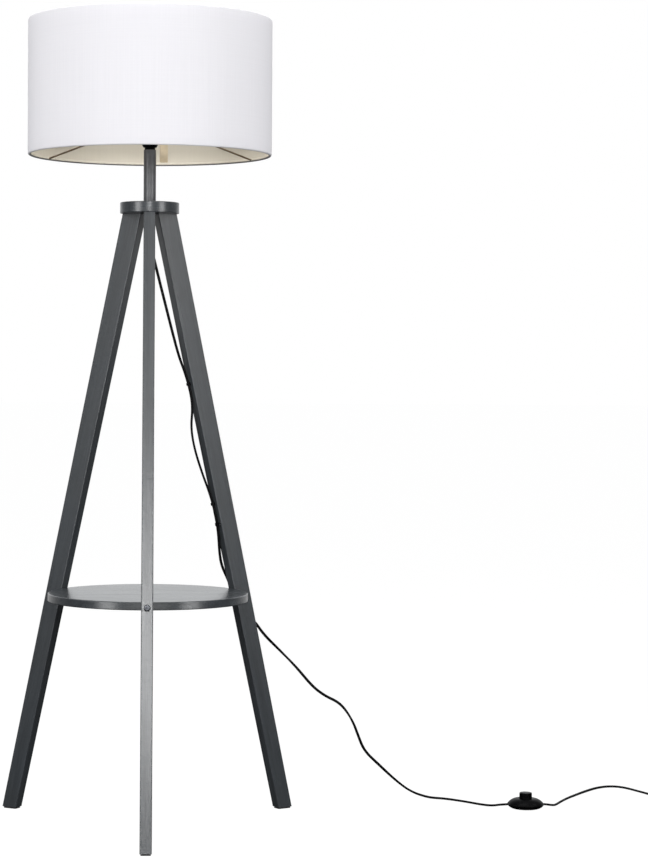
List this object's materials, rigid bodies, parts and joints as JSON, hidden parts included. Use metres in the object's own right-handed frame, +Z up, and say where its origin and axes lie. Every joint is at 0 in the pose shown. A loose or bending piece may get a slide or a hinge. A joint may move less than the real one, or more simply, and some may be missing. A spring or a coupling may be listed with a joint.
{
  "type": "tripod floor lamp",
  "caption": "Tripod floor lamp: painted wooden legs under a round hub, a round shelf between them, a white drum shade on a short stem, and a black cord with foot switch and plug.",
  "frame": {"origin": "on the floor, at the middle of the footprint of legs and shade; the lamp's own axis stands 46 mm towards +Y", "axes": "+Z up along the stem, -Y towards the front leg, +X to the right where the cord and foot switch lie"},
  "size_m": [1.4273, 0.7008, 1.493],
  "materials": {
    "painted_wood": "slate-grey painted ash, satin",
    "shade_fabric": "white plain weave outside, cream liner inside",
    "shade_wire": "lacquered wire",
    "stem_paint": "grey satin paint",
    "zinc_steel": "zinc-plated",
    "dark_steel": "grey oxide, satin",
    "brass": "plain",
    "black_plastic": "gloss black",
    "block_plastic": "cream moulded",
    "cord_pvc": "black flexible sheath",
    "ceramic": "unglazed",
    "bulb_opal": "opal diffuser",
    "bulb_white": "white",
    "bulb_metal": "plain",
    "beech": "raw beech",
    "pad_rubber": "matt",
    "tie": "soft strap"
  },
  "bodies": {
    "lamp": {"leg_front": "painted_wood", "leg_left": "painted_wood", "leg_right": "painted_wood", "hub_disc": "painted_wood", "shelf": "painted_wood", "foot_pads": "pad_rubber", "shelf_bolts": "dark_steel", "shelf_inserts": "zinc_steel", "hub_bolts": "dark_steel", "leg_inserts": "zinc_steel", "leg_dowels": "beech", "stem_tube": "stem_paint", "threaded_tube": "zinc_steel", "hub_washer": "zinc_steel", "hub_nut": "zinc_steel", "cord_bush": "black_plastic", "stem_lead": "cord_pvc", "lampholder_cap": "black_plastic", "lampholder_body": "black_plastic", "lampholder_insert": "ceramic", "screw_shell": "brass", "centre_contact": "brass", "shade_panel": "shade_fabric", "shade_bottom_ring": "shade_wire", "shade_top_ring": "shade_wire", "spider_arms": "shade_wire", "fitter_ring": "shade_wire", "cable_clips": "black_plastic", "clip_nails": "zinc_steel", "cord_to_switch": "cord_pvc", "cord_to_coil": "cord_pvc", "cord_coil": "cord_pvc", "cord_to_plug": "cord_pvc", "coil_tie": "tie", "plug_body": "black_plastic", "plug_relief": "cord_pvc", "plug_pins": "brass", "switch_cover": "black_plastic", "switch_base": "black_plastic", "switch_spring": "zinc_steel", "switch_block": "block_plastic", "switch_terminals": "brass", "switch_screws": "zinc_steel", "switch_grips": "block_plastic"},
    "bulb": {"bulb_cap": "bulb_metal", "bulb_insulator": "black_plastic", "bulb_tip": "brass", "bulb_housing": "bulb_white", "bulb_dome": "bulb_opal"},
    "ring_nut": {"shade_ring_nut": "black_plastic"},
    "push_button": {"switch_button": "black_plastic"}
  },
  "joints": [
    {"name": "button_press", "type": "slide", "parent": "lamp", "child": "push_button", "axis": [0, 0, -1], "range_m": [0, 0.004], "stiffness_N_per_m": 900, "springref_m": -0.003, "deforming": ["switch_spring"]},
    {"name": "bulb_turn", "type": "hinge", "parent": "lamp", "child": "bulb", "pos_m": [0, 0.046, 1.3], "axis": [0, 0, 1], "continuous": true},
    {"name": "ring_nut_turn", "type": "hinge", "parent": "lamp", "child": "ring_nut", "pos_m": [0, 0.046, 1.306], "axis": [0, 0, 1], "continuous": true}
  ]
}
